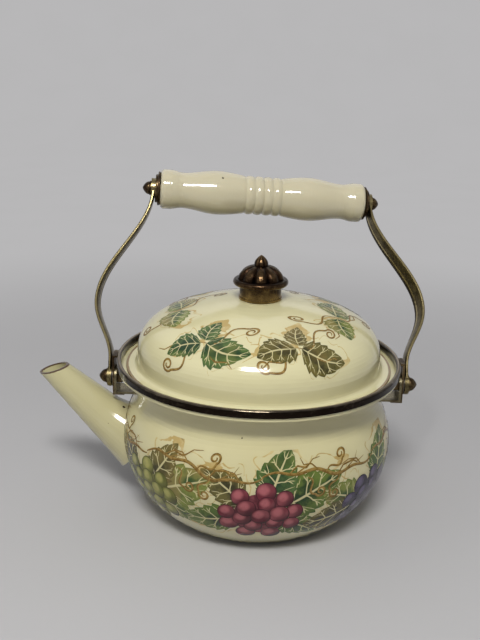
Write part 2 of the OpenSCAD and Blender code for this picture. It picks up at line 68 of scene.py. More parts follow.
# ------------------------------------------------------------------ settings
class KETTLE_PG_enamel(bpy.types.PropertyGroup):
    """Colours and gloss of the enamel and of the grip's glaze"""
    cream: bpy.props.FloatVectorProperty(name="Cream", description="Colour of the enamel",
        subtype="COLOR", size=3, min=0, max=1, default=(0.645, 0.60, 0.355))
    edge_brown: bpy.props.FloatVectorProperty(name="Edge brown", description="Colour of bare fired edges",
        subtype="COLOR", size=3, min=0, max=1, default=(0.085, 0.045, 0.02))
    grip: bpy.props.FloatVectorProperty(name="Grip", description="Colour of the grip's glaze",
        subtype="COLOR", size=3, min=0, max=1, default=(0.555, 0.505, 0.350))
    gloss: bpy.props.FloatProperty(name="Roughness", description="Roughness of the enamel",
        min=0.02, max=0.6, default=0.13)


class KETTLE_PG_garland(bpy.types.PropertyGroup):
    """Sizes and numbers of the painted pieces"""
    leaf_length: bpy.props.FloatProperty(name="Leaf length", description="Length of a painted leaf",
        unit="LENGTH", min=0.02, max=0.06, default=0.046)
    leaf_width: bpy.props.FloatProperty(name="Leaf width", description="Width of a painted leaf",
        unit="LENGTH", min=0.01, max=0.04, default=0.034)
    berry: bpy.props.FloatProperty(name="Berry radius", description="Radius of a painted berry",
        unit="LENGTH", min=0.002, max=0.008, default=0.0060)
    repeats: bpy.props.IntProperty(name="Clusters", description="Berry clusters round the belly",
        min=4, max=10, default=7)
    sprigs: bpy.props.IntProperty(name="Sprigs", description="Leaf sprigs round the lid",
        min=4, max=10, default=7)


class KETTLE_PG_metal(bpy.types.PropertyGroup):
    """Colours of the metals and of the film on them"""
    brass: bpy.props.FloatVectorProperty(name="Worn brass", description="Brass where it is rubbed bright",
        subtype="COLOR", size=3, min=0, max=1, default=(0.44, 0.325, 0.155))
    arm_brass: bpy.props.FloatVectorProperty(name="Arm brass", description="Paler brass of the bail's arms",
        subtype="COLOR", size=3, min=0, max=1, default=(0.56, 0.46, 0.23))
    knob_brass: bpy.props.FloatVectorProperty(name="Knob brass", description="Redder brass of the cast knob",
        subtype="COLOR", size=3, min=0, max=1, default=(0.30, 0.19, 0.090))
    patina: bpy.props.FloatVectorProperty(name="Patina", description="Dark film in the hollows",
        subtype="COLOR", size=3, min=0, max=1, default=(0.040, 0.024, 0.013))
    rim: bpy.props.FloatVectorProperty(name="Rim metal", description="Colour of the rim band",
        subtype="COLOR", size=3, min=0, max=1, default=(0.42, 0.35, 0.25))


class KETTLE_PG_stage(bpy.types.PropertyGroup):
    """The floor's colour and the main lamp's power"""
    floor: bpy.props.FloatVectorProperty(name="Floor", description="Colour of the floor and backdrop",
        subtype="COLOR", size=3, min=0, max=1, default=(0.475, 0.47, 0.475))
    key_power: bpy.props.FloatProperty(name="Key power", description="Power of the large overhead lamp",
        unit="POWER", min=0, max=100, default=13.8)


# ------------------------------------------------------------------ node helpers
class Nodes:
    """Adds shader nodes to one tree. A plain number or colour may stand wherever a socket may."""
    def __init__(self, tree):
        self.tree = tree
        self.texture = None

    def node(self, kind, inputs, **settings):
        """Adds a node, sets its properties, and then links or sets its inputs."""
        made = self.tree.nodes.new(kind)
        for key, value in settings.items():
            setattr(made, key, value)
        for key, value in inputs.items():
            self.put(value, made.inputs[key])
        return made

    def put(self, value, socket):
        """Links the value to a socket or sets it there, opaque where a colour has only three numbers."""
        if isinstance(value, bpy.types.NodeSocket):
            self.tree.links.new(value, socket)
            return
        if hasattr(socket.default_value, "__len__") and len(socket.default_value) == 4 and len(value) == 3:
            value = (*value, 1.0)
        socket.default_value = value

    def math(self, operation, *values, clamp=False):
        inputs = dict(enumerate(values))
        return self.node("ShaderNodeMath", inputs, operation=operation, use_clamp=clamp).outputs[0]

    def add(self, a, b):
        return self.math("ADD", a, b)

    def sub(self, a, b):
        return self.math("SUBTRACT", a, b)

    def mul(self, a, b):
        return self.math("MULTIPLY", a, b)

    def max(self, a, b):
        return self.math("MAXIMUM", a, b)

    def abs(self, a):
        return self.math("ABSOLUTE", a)

    def mix(self, factor, a, b, blend="MIX"):
        inputs = {0: factor, 6: a, 7: b}
        return self.node("ShaderNodeMix", inputs, data_type="RGBA", blend_type=blend).outputs[2]

    def ramp(self, value, low, high, out_low=0.0, out_high=1.0):
        """Goes smoothly from out_low to out_high while the value goes from low to high."""
        inputs = {"Value": value, "From Min": low, "From Max": high, "To Min": out_low, "To Max": out_high}
        return self.node("ShaderNodeMapRange", inputs, interpolation_type="SMOOTHSTEP").outputs[0]

    def noise(self, scale, detail=3.0, rough=0.5):
        """Cloudy noise from 0 to 1, with about scale patches to the metre."""
        inputs = {"Vector": self.coords(), "Scale": scale, "Detail": detail, "Roughness": rough}
        return self.node("ShaderNodeTexNoise", inputs).outputs["Fac"]

    def wobble(self, value, scale, amount):
        """The value shaken by noise, by up to half the amount either way."""
        return self.add(value, self.mul(self.sub(self.noise(scale), 0.5), amount))

    def coords(self, kind="Object"):
        if self.texture is None:
            self.texture = self.node("ShaderNodeTexCoord", {})
        return self.texture.outputs[kind]

    def xyz(self, vector):
        return self.node("ShaderNodeSeparateXYZ", {0: vector}).outputs

    def distance(self, place):
        """Distance of each point of the surface from a place."""
        inputs = {0: self.coords(), 1: place}
        return self.node("ShaderNodeVectorMath", inputs, operation="DISTANCE").outputs["Value"]

    def group(self, tree, **inputs):
        return self.node("ShaderNodeGroup", inputs, node_tree=tree).outputs

    def bump(self, height, strength, distance):
        inputs = {"Height": height, "Strength": strength, "Distance": distance}
        return self.node("ShaderNodeBump", inputs).outputs[0]


def new_material(name):
    material = bpy.data.materials.new(name)
    material.use_nodes = True
    shader = material.node_tree.nodes["Principled BSDF"]
    return material, Nodes(material.node_tree), shader.inputs


def new_group(name, inputs, outputs):
    """A shader node group whose sockets carry colours where they have no default, and numbers otherwise."""
    tree = bpy.data.node_groups.new(name, "ShaderNodeTree")
    for label, default in inputs.items():
        kind = "NodeSocketColor" if default is None else "NodeSocketFloat"
        socket = tree.interface.new_socket(label, in_out="INPUT", socket_type=kind)
        if default is not None:
            socket.default_value = default
    for label in outputs:
        kind = "NodeSocketColor" if label == "Color" else "NodeSocketFloat"
        tree.interface.new_socket(label, in_out="OUTPUT", socket_type=kind)
    nodes = Nodes(tree)
    return tree, nodes, nodes.node("NodeGroupInput", {}).outputs, nodes.node("NodeGroupOutput", {}).inputs


def patina_group():
    """Dark film over brass: it stays in the hollows, and the brass shows where Bright is 1, whether rubbed
    bare or, on the arms and rim, lit by a painted highlight.
    """
    if "Patina" in bpy.data.node_groups:
        return bpy.data.node_groups["Patina"]
    tree, n, given, out = new_group("Patina",
        {"Bright": 0.3, "Scale": 140.0, "Mottle": 1.0, "Brass": None, "Film": None},
        ["Color", "Roughness", "Height"])
    cloud = n.noise(given["Scale"], 5.0, rough=0.65)
    fine = n.noise(n.mul(given["Scale"], 9.0), 3.0)
    cloudy = n.mul(n.sub(cloud, 0.5), n.mul(given["Mottle"], 1.5))
    grainy = n.mul(n.sub(fine, 0.5), 0.5)
    brass_showing = n.math("ADD", n.add(cloudy, given["Bright"]), grainy, clamp=True)
    n.put(n.mix(brass_showing, given["Film"], given["Brass"]), out["Color"])
    n.put(n.sub(0.50, n.mul(brass_showing, 0.24)), out["Roughness"])
    n.put(n.add(cloud, n.mul(fine, 0.4)), out["Height"])
    return tree


def glaze_group():
    """Fired glaze: faint warm clouding, rare dark specks, and the slight waviness of a poured surface."""
    if "Glaze" in bpy.data.node_groups:
        return bpy.data.node_groups["Glaze"]
    tree, n, given, out = new_group("Glaze",
        {"Color": None, "Clouding": 0.5, "Specks": 1.0},
        ["Color", "Height", "Wear"])
    warm = n.mix(0.5, given["Color"], (0.60, 0.50, 0.27), "MULTIPLY")
    clouding = n.mul(n.ramp(n.noise(22.0), 0.45, 0.8), n.mul(given["Clouding"], 0.35))
    tone = n.mix(clouding, given["Color"], warm)
    cells = n.node("ShaderNodeTexVoronoi", {"Scale": 150.0, "Vector": n.coords()}).outputs
    dot = n.ramp(cells["Distance"], 0.035, 0.07, 1.0, 0.0)
    lot = n.node("ShaderNodeSeparateColor", {0: cells["Color"]}).outputs[0]
    rare = n.math("GREATER_THAN", lot, 0.93)
    speck = n.mul(n.mul(dot, rare), n.mul(given["Specks"], 0.6))
    n.put(n.mix(speck, tone, (0.10, 0.06, 0.03)), out["Color"])
    n.put(n.noise(30.0, 2.0), out["Height"])
    n.put(n.ramp(n.noise(60.0, 4.0), 0.35, 0.75), out["Wear"])
    return tree


def finish_with(nodes, material):
    """Gives the named CAD nodes a material in place of their own."""
    for name in nodes:
        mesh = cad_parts[name].data
        mesh.materials.clear()
        mesh.materials.append(material)


def chip(n, color, place, radius):
    """A small place where the glaze is knocked off and the dark ground shows."""
    ragged = n.wobble(n.distance(place), 900.0, radius)
    return n.mix(n.ramp(ragged, radius * 0.7, radius * 1.1, 1.0, 0.0), color, (0.035, 0.022, 0.012))


# ------------------------------------------------------------------ enamel
def base_edge(n, color, brown):
    """Browner and darker towards the bottom in patches, fading up the foot; the bare edge that the body
    stands on; and a chip at the neck.
    """
    z = n.xyz(n.coords())[2]
    patchy = n.ramp(n.noise(34.0), 0.25, 0.65, 0.55, 1.0)
    foot_darkening = n.mul(n.ramp(z, 0.001, 0.018, 0.55, 0.0), patchy)
    color = n.mix(foot_darkening, color, (0.30, 0.255, 0.120))
    bare = n.ramp(n.wobble(z, 260.0, 0.0016), 0.0006, 0.0022, 0.85, 0.0)
    return chip(n, n.mix(bare, color, brown), place=(-0.0090, -0.0819, 0.0847), radius=0.0005)


def mouth_edge(n, color, brown):
    """The bare edge of the spout's slanting mouth, and a chip near its root."""
    x, _, z = n.xyz(n.coords())
    from_mouth = (n.mul(n.sub(x, MOUTH[0] * MM), -math.sin(MOUTH_CUT)),
                  n.mul(n.sub(z, MOUTH[2] * MM), math.cos(MOUTH_CUT)))
    bare = n.ramp(n.wobble(n.add(*from_mouth), 400.0, 0.0005), -0.0011, -0.0006)
    return chip(n, n.mix(bare, color, brown), place=(-0.0910, -0.0060, 0.0684), radius=0.0011)


def lid_edge(n, color, _brown):
    """A thin amber line where the glaze runs out at the edge of the lid's flange."""
    x, y, z = n.xyz(n.coords())
    r = n.math("SQRT", n.add(n.mul(x, x), n.mul(y, y)))
    line = n.ramp(n.wobble(r, 300.0, 0.0006), (LID_R - 2.0) * MM, (LID_R - 1.5) * MM)
    low = n.math("LESS_THAN", z, (LID_Z + 2) * MM)
    return n.mix(n.mul(line, low), color, (0.20, 0.115, 0.024))


def enamel_material(name, settings, edge, darkening=(1, 1, 1)):
    """Cream enamel with its own edge, its cream multiplied by the given factors. The body's cream is
    darkened a little; the spout's is darkened more, as painted shade.
    """
    material, n, shader = new_material(name)
    cream = tuple(c * d for c, d in zip(settings.cream, darkening))
    glaze = n.group(glaze_group(), Color=cream, Clouding=0.6, Specks=1.0)
    n.put(edge(n, glaze["Color"], tuple(settings.edge_brown)), shader["Base Color"])
    n.put(n.add(settings.gloss, n.mul(glaze["Wear"], 0.05)), shader["Roughness"])
    n.put(n.bump(glaze["Height"], 0.12, 0.0006), shader["Normal"])
    shader["Coat Weight"].default_value = 0.4
    shader["Coat Roughness"].default_value = 0.05
    return material


class KETTLE_OT_enamel(bpy.types.Operator):
    """Gives the body, spout and lid their fired cream enamel"""
    bl_idname = "kettle.enamel"
    bl_label = "Enamel"

    def execute(self, context):
        s = context.scene.kettle_enamel
        finish_with(["kettle_body"], enamel_material("enamel_body", s, base_edge, darkening=(0.94, 0.93, 0.90)))
        # painted shade: the spout's cream is darkened to stand in for the shade that falls on it
        finish_with(["spout"], enamel_material("enamel_spout", s, mouth_edge, darkening=(0.80, 0.79, 0.76)))
        finish_with(["lid"], enamel_material("enamel_lid", s, lid_edge))
        return {"FINISHED"}


class KETTLE_OT_grip(bpy.types.Operator):
    """Gives the turned grip its glazed ceramic finish"""
    bl_idname = "kettle.grip"
    bl_label = "Grip"

    def execute(self, context):
        s = context.scene.kettle_enamel
        material, n, shader = new_material("grip_glaze")
        glaze = n.group(glaze_group(), Color=tuple(s.grip), Clouding=0.35, Specks=0.5)
        chipped = chip(n, glaze["Color"], place=(-0.0279, 0.0499, 0.2186), radius=0.0008)
        n.put(chipped, shader["Base Color"])
        n.put(n.add(0.08, n.mul(glaze["Wear"], 0.04)), shader["Roughness"])
        n.put(n.bump(glaze["Height"], 0.10, 0.0005), shader["Normal"])
        shader["Coat Weight"].default_value = 0.6
        shader["Coat Roughness"].default_value = 0.04
        shader["Subsurface Weight"].default_value = 0.08
        shader["Subsurface Radius"].default_value = (0.004, 0.003, 0.002)
        finish_with(["grip"], material)
        return {"FINISHED"}


# ------------------------------------------------------------------ metal
def arm_wear_and_shading(lean, edge_wear_and_sheen):
    """Brightness of an arm that leans back by an angle: its narrow edges are lighter, partly rubbed brass
    and partly painted highlight, less so near both ends; a painted highlight runs along a crest of its face,
    with painted shade behind it; and it is darker at the pivot. The second argument scales how bright the
    edges are."""
    def wear_and_shading(n, bright):
        _, y, z = n.xyz(n.coords())
        rise = n.sub(z, PIVOT_Z * MM)
        along = n.add(n.mul(y, math.sin(lean)), n.mul(rise, math.cos(lean)))
        across = n.sub(n.mul(y, math.cos(lean)), n.mul(rise, math.sin(lean)))
        speckle = n.math("MULTIPLY_ADD", n.noise(1500.0, 2.0), 1.1, 0.20)
        facing = n.abs(n.xyz(n.coords("Normal"))[0])
        # narrow edges made lighter: partly rubbed brass, partly painted highlight
        edge = n.mul(n.ramp(facing, 0.25, 0.75, 1.0, 0.0), speckle)
        edge = n.mul(edge, n.ramp(along, 0.007, 0.026, 0.30, 1.0))
        edge = n.mul(edge, n.ramp(along, 0.112, 0.124, edge_wear_and_sheen, 0.30 * edge_wear_and_sheen))
        # painted highlight along a crest of the face
        painted_crest_highlight = n.mul(n.ramp(n.abs(n.sub(across, 0.0014)), 0.0003, 0.0010, 1.25, 0.0), speckle)
        # painted shade on the far side of the crest
        painted_shade_behind_crest = n.ramp(across, 0.0016, 0.0026, 0.0, 0.25)
        at_pivot = n.ramp(along, 0.002, 0.018, 0.16, 0.0)
        return n.sub(n.add(bright, n.max(edge, painted_crest_highlight)), n.add(painted_shade_behind_crest, at_pivot))
    return wear_and_shading


def flute_wear(n, bright):
    """Wear of the knob: dark grooves between its flutes, a dark seam under the dome and a bright tip."""
    seam_z = KNOB_LOW + 0.0042
    x, y, z = n.xyz(n.coords())
    # one lobe faces the front, so the grooves lie half a lobe to either side of it
    angle = n.math("MULTIPLY_ADD", n.math("ARCTAN2", y, x), FLUTES / 2, (FLUTES - 2) * math.pi / 4)
    groove = n.math("POWER", n.sub(1.0, n.abs(n.math("SINE", angle))), 2.0)
    on_dome = n.ramp(z, seam_z, KNOB_LOW + 0.0056)
    level = n.sub(bright, n.mul(n.mul(groove, on_dome), 0.9))
    tip = n.ramp(z, KNOB_HIGH - 0.0065, KNOB_HIGH - 0.001, -0.15, 0.30)
    seam = n.ramp(n.abs(n.sub(z, seam_z)), 0.0, 0.0011, 0.6, 0.0)
    return n.sub(n.add(level, tip), seam)


def collar_tone_by_height(n, bright):
    """The collar: lighter towards its foot, and darker up under the knob."""
    z = n.xyz(n.coords())[2]
    return n.add(bright, n.ramp(z, KNOB_LOW - 0.0092, KNOB_LOW - 0.002, 0.42, -0.15))


def rim_painted_highlight(n, bright):
    """Painted highlight on the rim: lighter where it faces up, and lightest along its top."""
    up = n.xyz(n.coords("Normal"))[2]
    return n.add(n.add(bright, n.ramp(up, 0.15, 0.65, 0.0, 0.24)), n.ramp(up, 0.80, 0.97, 0.0, 0.45))


def metal_material(name, color, film, bright, scale, mottle=1.0, polish=0.0, wear_and_shading=None):
    """Metal under a dark film. Bright is how much of the metal shows through the film, 0 for hardly and 1
    for wholly, scale its patches to the metre, mottle how uneven it is, and polish what is taken off the
    roughness. The wear function works out bright from place to place, from wear, and on the arms and rim
    from painted highlight and painted shade as well."""
    material, n, shader = new_material(name)
    level = wear_and_shading(n, bright) if wear_and_shading else bright
    patina = n.group(patina_group(), Bright=level, Scale=scale, Mottle=mottle, Brass=color, Film=film)
    n.put(patina["Color"], shader["Base Color"])
    n.put(n.sub(patina["Roughness"], polish), shader["Roughness"])
    n.put(n.bump(patina["Height"], 0.25, 0.0002), shader["Normal"])
    shader["Metallic"].default_value = 1.0
    return material


class KETTLE_OT_metals(bpy.types.Operator):
    """Gives the bail's arms, the knob, the ears and the rim their aged metal"""
    bl_idname = "kettle.metals"
    bl_label = "Metals"

    def execute(self, context):
        s = context.scene.kettle_metal
        brass, film = tuple(s.brass), tuple(s.patina)
        # the second number scales each arm's lighter edges, which are partly rubbed brass and partly painted
        # highlight
        for arm, lean, edge_wear_and_sheen in (("left_arm", LEFT_LEAN, 1.0), ("right_arm", RIGHT_LEAN, 0.6)):
            finish_with([arm], metal_material(arm + "_brass", color=tuple(s.arm_brass),
                film=(0.046, 0.034, 0.014), bright=0.18, scale=120.0, mottle=0.5, polish=0.10,
                wear_and_shading=arm_wear_and_shading(lean, edge_wear_and_sheen)))
        finish_with(["knob"], metal_material("knob_brass", color=tuple(s.knob_brass),
            film=(0.026, 0.014, 0.008), bright=0.30, scale=200.0, mottle=0.8, polish=0.20, wear_and_shading=flute_wear))
        finish_with(["knob_collar"], metal_material("collar_brass", color=(0.40, 0.27, 0.10), film=film,
            bright=0.20, scale=160.0, polish=0.10, wear_and_shading=collar_tone_by_height))
        finish_with(["left_bracket", "right_bracket"], metal_material("bracket_brass",
            color=(0.36, 0.32, 0.19), film=film, bright=0.48, scale=90.0, polish=0.10))
        finish_with(["left_keeper", "right_keeper"], metal_material("keeper_brass", color=brass, film=film,
            bright=0.10, scale=120.0, polish=0.06))
        hardware = [f"{side}_{part}" for side in ("left", "right")
                    for part in ("end_cap", "grip_nut", "pivot_nut", "pivot_bolt")]
        finish_with(hardware, metal_material("dark_hardware", color=brass, film=film,
            bright=0.08, scale=260.0, polish=0.08))
        # the rim is dark film, with a painted highlight where it faces up
        finish_with(["rim_band"], metal_material("rim_metal", color=tuple(s.rim),
            film=(0.015, 0.010, 0.007), bright=-0.04, scale=70.0, mottle=0.30, polish=0.34, wear_and_shading=rim_painted_highlight))
        finish_with(["left_pivot_washer", "right_pivot_washer"], metal_material("washer_steel",
            color=(0.27, 0.255, 0.23), film=film, bright=0.45, scale=180.0))
        finish_with(["tie_rod", "knob_screw", "knob_washer"], metal_material("plain_steel",
            color=(0.50, 0.49, 0.46), film=film, bright=0.85, scale=200.0))
        return {"FINISHED"}


# ------------------------------------------------------------------ paints
def new_paint(name):
    """Brush paint with a soft gloss: its material, its nodes, and the socket that takes its colour."""
    material, n, shader = new_material(name)
    n.put(n.add(0.22, n.mul(n.noise(500.0), 0.06)), shader["Roughness"])
    shader["Specular IOR Level"].default_value = 0.30
    shader["Coat Weight"].default_value = 0.18
    shader["Coat Roughness"].default_value = 0.06
    return material, n, shader["Base Color"]


def leaf_veins(n, u, across):
    """Mask of a leaf's veins: a midrib, and side veins that slant, fork twice and stop short of the edge."""
    slant = n.mul(n.sub(u, n.mul(across, 0.22)), 4.5)
    phase = n.sub(n.math("FRACT", slant), 0.5)
    veins = n.ramp(n.add(n.abs(phase), n.mul(across, 0.03)), 0.034, 0.078, 1.0, 0.0)
    for start, lean in ((0.36, 0.95), (0.56, -0.95)):
        beyond = n.sub(across, start)
        fork = n.ramp(n.abs(n.sub(phase, n.mul(beyond, lean))), 0.022, 0.056, 1.0, 0.0)
        veins = n.max(veins, n.mul(fork, n.math("GREATER_THAN", beyond, 0.0)))
    veins = n.mul(veins, n.ramp(across, 0.74, 0.90, 1.0, 0.0))
    midrib = n.ramp(across, 0.030, 0.074, 1.0, 0.0)
    return n.mul(n.max(veins, midrib), n.ramp(u, 0.86, 0.97, 1.0, 0.0))


def leaf_paint(name, deep, light, blush):
    """Leaf on its own UV map, u from stalk to tip and v across, deep at the midrib, with light veins."""
    material, n, base = new_paint(name)
    u, v, _ = n.xyz(n.coords("UV"))
    shake = n.mul(n.sub(n.noise(150.0, 2.0), 0.5), 0.05)
    u = n.add(u, shake)
    v = n.add(v, n.mul(shake, 0.7))
    across = n.abs(n.sub(n.mul(v, 2.0), 1.0))
    wash = n.noise(110.0, 4.0, rough=0.62)
    outward = n.add(n.mul(across, 0.42), n.mul(u, 0.18))
    outward = n.add(outward, n.mul(n.sub(wash, 0.5), 1.5))
    tone = n.mix(n.ramp(outward, 0.02, 0.50), deep, light)
    tone = n.mix(n.ramp(n.noise(46.0, 2.0), 0.50, 0.66, 0.0, 0.8), tone, blush)
    tone = n.mix(n.mul(n.ramp(across, 0.88, 0.99), 0.35), tone, deep)
    n.put(n.mix(n.mul(leaf_veins(n, u, across), 0.92), tone, (0.58, 0.52, 0.27)), base)
    return material


def berry_paint(name, body, shade, light):
    """Round berry on its own UV map, with a soft light from above left and a thin dark outline."""
    material, n, base = new_paint(name)
    u, v, _ = n.xyz(n.coords("UV"))
    x = n.sub(n.mul(u, 2.0), 1.0)
    y = n.sub(n.mul(v, 2.0), 1.0)
    tone = n.mix(n.ramp(n.noise(75.0, 1.0), 0.40, 0.64, 0.0, 0.40), body, light)
    tone = n.mix(n.ramp(n.noise(58.0, 1.0), 0.30, 0.52, 0.55, 0.0), tone, shade)
    from_light = n.add(n.math("POWER", n.add(x, 0.20), 2.0), n.math("POWER", n.sub(y, 0.26), 2.0))
    tone = n.mix(n.ramp(from_light, 0.01, 0.50, 0.95, 0.0), tone, light)
    low = n.add(n.mul(x, 0.45), n.mul(y, -0.75))
    tone = n.mix(n.ramp(low, 0.05, 0.85, 0.0, 0.75), tone, shade)
    tone = n.mix(n.ramp(n.noise(260.0), 0.42, 0.72, 0.0, 0.22), tone, shade)
    outline = n.ramp(n.max(n.abs(x), n.abs(y)), 0.80, 0.95, 0.0, 0.85)
    n.put(n.mix(outline, tone, shade), base)
    return material


def stroke_paint(name, color, pale):
    """Dry brush stroke: darker along one side, broken by the bristles."""
    material, n, base = new_paint(name)
    v = n.xyz(n.coords("UV"))[1]
    dry = n.add(n.noise(420.0), n.mul(n.sub(v, 0.5), 0.35))
    n.put(n.mix(n.ramp(dry, 0.32, 0.66), color, pale), base)
    return material


def wash_paint(name, color, pale):
    """Thin wash that grows paler in patches."""
    material, n, base = new_paint(name)
    n.put(n.mix(n.ramp(n.noise(90.0, 4.0, rough=0.6), 0.42, 0.66), color, pale), base)
    return material


# Each paint: how it is made, its material's name, and its colours in the order that its maker takes them
PAINTS = {
    "deep": (leaf_paint, "leaf_deep", (0.014, 0.038, 0.010), (0.115, 0.165, 0.026), (0.06, 0.11, 0.020)),
    "mid": (leaf_paint, "leaf_mid", (0.030, 0.072, 0.014), (0.185, 0.215, 0.042), (0.24, 0.19, 0.055)),
    "olive": (leaf_paint, "leaf_olive", (0.034, 0.030, 0.008), (0.125, 0.106, 0.026), (0.17, 0.125, 0.032)),
    "sea": (leaf_paint, "leaf_sea", (0.014, 0.042, 0.014), (0.075, 0.130, 0.032), (0.15, 0.175, 0.04)),
    "wine": (berry_paint, "berry_wine", (0.135, 0.015, 0.026), (0.030, 0.004, 0.008), (0.40, 0.115, 0.125)),
    "rose": (berry_paint, "berry_rose", (0.32, 0.130, 0.085), (0.13, 0.035, 0.025), (0.55, 0.34, 0.21)),
    "green": (berry_paint, "berry_green", (0.150, 0.160, 0.024), (0.050, 0.048, 0.008), (0.38, 0.36, 0.10)),
    "blue": (berry_paint, "berry_blue", (0.030, 0.022, 0.052), (0.008, 0.005, 0.015), (0.115, 0.092, 0.160)),
    "wine_under": (wash_paint, "under_wine", (0.09, 0.012, 0.020), (0.26, 0.06, 0.07)),
    "rose_under": (wash_paint, "under_rose", (0.22, 0.08, 0.055), (0.36, 0.18, 0.12)),
    "green_under": (wash_paint, "under_green", (0.09, 0.09, 0.015), (0.17, 0.17, 0.035)),
    "blue_under": (wash_paint, "under_blue", (0.020, 0.014, 0.036), (0.06, 0.05, 0.09)),
    "stem": (stroke_paint, "stem_brown", (0.145, 0.078, 0.013), (0.300, 0.190, 0.048)),
    "shadow": (wash_paint, "shadow_tan", (0.46, 0.335, 0.120), (0.58, 0.475, 0.235)),
}


def paint(kind):
    """The material of a paint, made the first time that it is used."""
    make, name, *colors = PAINTS[kind]
    return bpy.data.materials.get(name) or make(name, *colors)


# ------------------------------------------------------------------ painted surface
class Surface:
    """A surface of revolution by its outline in millimetres, on which flat pieces are laid by distance."""
    def __init__(self, r, z):
        step = np.hypot(np.diff(r), np.diff(z))
        self.distance = np.concatenate([[0], np.cumsum(step)])
        self.r, self.z = r, z
        self.slope_r, self.slope_z = np.gradient(r, self.distance), np.gradient(z, self.distance)
        self.outward = 1.0 if self.slope_z.mean() > 0 else -1.0

    def at_height(self, z):
        """Distance along the outline to a height."""
        return float(self.distance[np.argmin(abs(self.z - z))])

    def points(self, middle, u, v, lift):
        """Places, in metres, of points u round and v along from a middle, lift above the surface. The
        middle is an angle round the axis, from the front, and a distance along the outline."""
        theta, start = middle
        along = np.clip(start + v, self.distance[0], self.distance[-1])
        r, z, slope_r, slope_z = (np.interp(along, self.distance, values)
                                  for values in (self.r, self.z, self.slope_r, self.slope_z))
        size = np.hypot(slope_r, slope_z)
        r = r + lift * self.outward * slope_z / size
        z = z - lift * self.outward * slope_r / size
        angle = theta + u / np.maximum(r, 1.0)
        return np.stack([r * np.sin(angle), -r * np.cos(angle), z], 1) * MM


def belly_surface():
    """The painted part of the belly, from low on the foot to the turn of the neck."""
    a = np.radians(np.linspace(-47, 22, 240))
    return Surface(BELLY_R * np.cos(a), BELLY_Z + BELLY_H * np.sin(a))


def dome_surface():
    """The lid's dome, from its middle out and down to its edge."""
    a = np.linspace(math.pi / 2 - 0.02, 0.0, 400)
    power = 2 / DOME_POWER
    r = DOME_R * np.cos(a) ** power
    rise = CROWN * np.maximum(0, 1 - (np.maximum(r, COLLAR_R) / CROWN_R) ** 2) ** 2
    return Surface(r, DOME_Z + DOME_H * np.sin(a) ** power + rise)


# Flat grids that every painted piece is shaped from: their faces along and across
BLANKS = {"leaf": (54, 8), "back": (54, 2), "disc": (8, 8), "strip": (64, 1)}

# Each kind of painted piece: its blank, the layer that it joins, how far the first one lies above the
# enamel, and the step to the next one, in millimetres
KINDS = {
    "wash": ("back", "wash", 0.040, 0.004),
    "leaf": ("leaf", "leaves", 0.100, 0.012),
    "branch": ("strip", "stems", 0.175, 0.0),
    "twig": ("strip", "stems", 0.180, 0.001),
    "curl": ("strip", "stems", 0.188, 0.0),
    "under": ("disc", "berries", 0.205, 0.0),
    "berry": ("disc", "berries", 0.220, 0.008),
    "lid_curl": ("strip", "stems", 0.090, 0.001),
    "lid_twig": ("strip", "stems", 0.092, 0.0),
}


def blank_grid(name, along, across):
    """A flat grid from -1 to 1 with its own UV map."""
    bpy.ops.object.select_all(action="DESELECT")
    bpy.ops.mesh.primitive_grid_add(x_subdivisions=along, y_subdivisions=across, size=2)
    piece = bpy.context.object
    piece.name = name
    return piece


def join(pieces, name, body):
    """Joins pieces into one of the given name, which rides on the body."""
    bpy.ops.object.select_all(action="DESELECT")
    for piece in pieces:
        piece.select_set(True)
    bpy.context.view_layer.objects.active = pieces[0]
    bpy.ops.object.join()
    joined = bpy.context.object
    joined.name = name
    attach(joined, body)


class Painting:
    """Pieces painted on one surface, in layers. The wash behind each leaf is slipped and twisted from it."""
    def __init__(self, surface, seed, slip, twist):
        self.surface, self.slip, self.twist = surface, slip, twist
        self.chance = np.random.default_rng(seed)
        self.blanks = {name: blank_grid(name, *faces) for name, faces in BLANKS.items()}
        self.layers = {}

    def lay(self, kind, number, middle, shape, material):
        """Shapes a copy of the kind's blank and lays it round a middle on the surface."""
        blank, layer, lift, step = KINDS[kind]
        piece = self.blanks[blank].copy()
        piece.data = piece.data.copy()
        bpy.context.scene.collection.objects.link(piece)
        self.layers.setdefault(layer, []).append(piece)
        mesh = piece.data
        flat = np.zeros(len(mesh.vertices) * 3, np.float32)
        mesh.vertices.foreach_get("co", flat)
        flat = flat.reshape(-1, 3).astype(float)
        u, v = shape(flat[:, 0] * 0.5 + 0.5, flat[:, 1])
        points = self.surface.points(middle, u, v, lift + step * number)
        mesh.vertices.foreach_set("co", points.astype(np.float32).ravel())
        mesh.materials.append(material)
        mesh.shade_smooth()
        mesh.update()
        # faces that come out looking towards the axis are turned over
        if sum(p.normal.dot(Vector((p.center.x, p.center.y, 0.02))) for p in mesh.polygons) < 0:
            mesh.flip_normals()

    def leaf(self, number, middle, leaf, place, kind):
        """Lays a leaf, given as length, width, turn and bend, and a larger ragged wash behind it."""
        length, width, turn, bend = leaf
        wash = leaf_shape(length * 1.12, width * 1.24, turn + self.twist, bend, teeth=5, ragged=1.6)
        behind = (place[0] + self.slip[0], place[1] + self.slip[1])
        self.lay("wash", number, middle, moved(wash, behind), paint("shadow"))
        self.lay("leaf", number, middle, moved(leaf_shape(length, width, turn, bend), place), paint(kind))

    def join_layers(self, names, body):
        """Joins each layer into one piece, and clears the blanks away."""
        for layer, name in names.items():
            join(self.layers[layer], name, body)
        for blank in self.blanks.values():
            bpy.data.objects.remove(blank)


# ------------------------------------------------------------------ painted shapes
# A shape takes t, from 0 to 1 along a blank, and v, from -1 to 1 across it, and gives distances round the
# surface and along its outline, in millimetres. A path does so for t alone.
def turned(x, y, angle):
    return x * math.cos(angle) - y * math.sin(angle), x * math.sin(angle) + y * math.cos(angle)


def moved(shape, place):
    return lambda t, v: tuple(map(np.add, shape(t, v), place))


